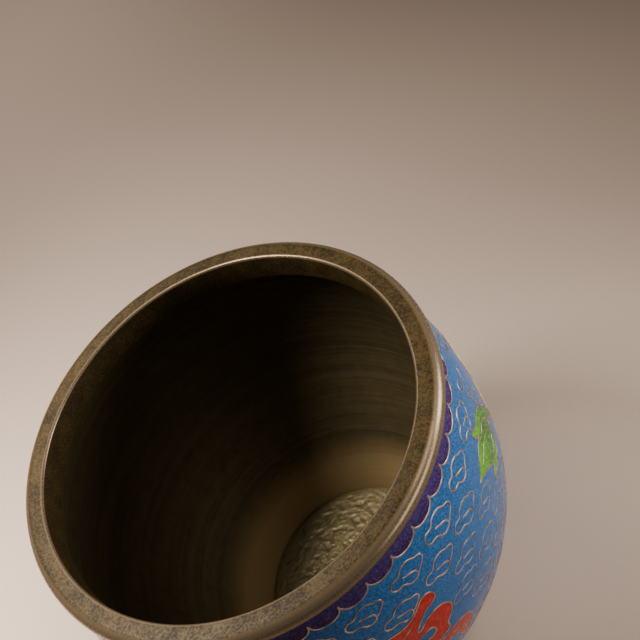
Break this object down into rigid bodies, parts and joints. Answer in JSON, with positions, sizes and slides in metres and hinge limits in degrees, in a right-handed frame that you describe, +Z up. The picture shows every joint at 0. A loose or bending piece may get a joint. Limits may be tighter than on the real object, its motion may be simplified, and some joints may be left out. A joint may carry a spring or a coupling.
{
  "type": "cloisonne planter",
  "caption": "Round bulbous cloisonne planter with a heavy brass rim ring, blue enamelled wall, inset floor disc and brass foot ring.",
  "frame": {"origin": "centre of the foot ring's underside, on the surface the planter stands on", "axes": "+Z up through the middle of the mouth; +X and +Y are any two radial directions"},
  "size_m": [0.1244, 0.1244, 0.116],
  "materials": {
    "dark_bronze": "spun metal with a dark brown antique patina",
    "cloisonne_enamel": "polished opaque enamel, blue ground with coloured cells between brass wires",
    "antique_brass": "satin brass, antiqued brown, with fine mottling",
    "hammered_brass": "crinkled hammered brass, olive patina"
  },
  "bodies": {
    "root": {"vessel_wall": "dark_bronze", "enamel_coat": "cloisonne_enamel", "rim_ring": "antique_brass", "foot_ring": "antique_brass", "floor_disc": "hammered_brass"}
  },
  "joints": []
}
